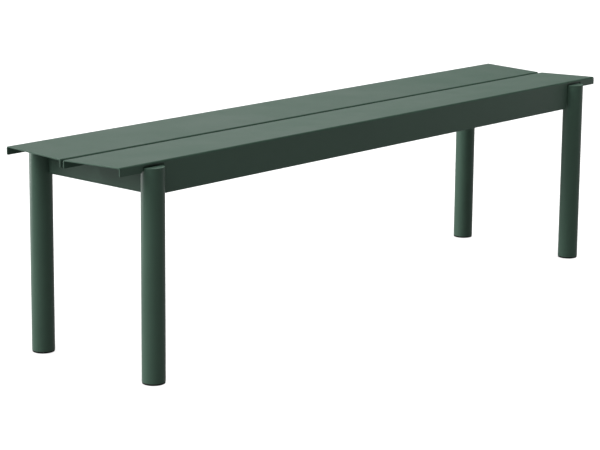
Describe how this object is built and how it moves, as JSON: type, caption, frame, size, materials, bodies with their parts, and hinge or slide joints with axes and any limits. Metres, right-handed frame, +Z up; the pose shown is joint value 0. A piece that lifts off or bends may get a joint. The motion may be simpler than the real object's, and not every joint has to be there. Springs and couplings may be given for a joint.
{
  "type": "backless bench",
  "caption": "Backless outdoor bench: folded sheet-steel seat planks with a drain gap and deep skirts on round tube legs with black feet.",
  "frame": {"origin": "on the floor, under the middle of the seat", "axes": "+X along the bench, +Y from the front to the rear, +Z up; front and rear are alike"},
  "size_m": [1.7, 0.3914, 0.4658],
  "materials": {
    "seat_powder_coat": "dark green powder coat, satin, on folded sheet steel",
    "frame_powder_coat": "dark green powder coat, satin, on welded steel tube and folded sheet",
    "foot_plastic": "black moulded polyethylene, matt",
    "zinc_fasteners": "bright zinc-plated steel"
  },
  "bodies": {
    "root": {"front_left_corner_tab": "frame_powder_coat", "front_left_foot_plug": "foot_plastic", "front_left_leg_cap": "frame_powder_coat", "front_left_leg_tube": "frame_powder_coat", "front_right_corner_tab": "frame_powder_coat", "front_right_foot_plug": "foot_plastic", "front_right_leg_cap": "frame_powder_coat", "front_right_leg_tube": "frame_powder_coat", "front_seat_nuts": "zinc_fasteners", "front_seat_plank": "seat_powder_coat", "front_seat_washers": "zinc_fasteners", "front_seat_weld_studs": "zinc_fasteners", "front_skirt_nuts": "zinc_fasteners", "front_skirt_washers": "zinc_fasteners", "front_skirt_weld_studs": "zinc_fasteners", "left_end_rail": "frame_powder_coat", "left_seat_rib": "frame_powder_coat", "middle_seat_rib": "frame_powder_coat", "rear_left_corner_tab": "frame_powder_coat", "rear_left_foot_plug": "foot_plastic", "rear_left_leg_cap": "frame_powder_coat", "rear_left_leg_tube": "frame_powder_coat", "rear_right_corner_tab": "frame_powder_coat", "rear_right_foot_plug": "foot_plastic", "rear_right_leg_cap": "frame_powder_coat", "rear_right_leg_tube": "frame_powder_coat", "rear_seat_nuts": "zinc_fasteners", "rear_seat_plank": "seat_powder_coat", "rear_seat_washers": "zinc_fasteners", "rear_seat_weld_studs": "zinc_fasteners", "rear_skirt_nuts": "zinc_fasteners", "rear_skirt_washers": "zinc_fasteners", "rear_skirt_weld_studs": "zinc_fasteners", "right_end_rail": "frame_powder_coat", "right_seat_rib": "frame_powder_coat"}
  },
  "joints": []
}
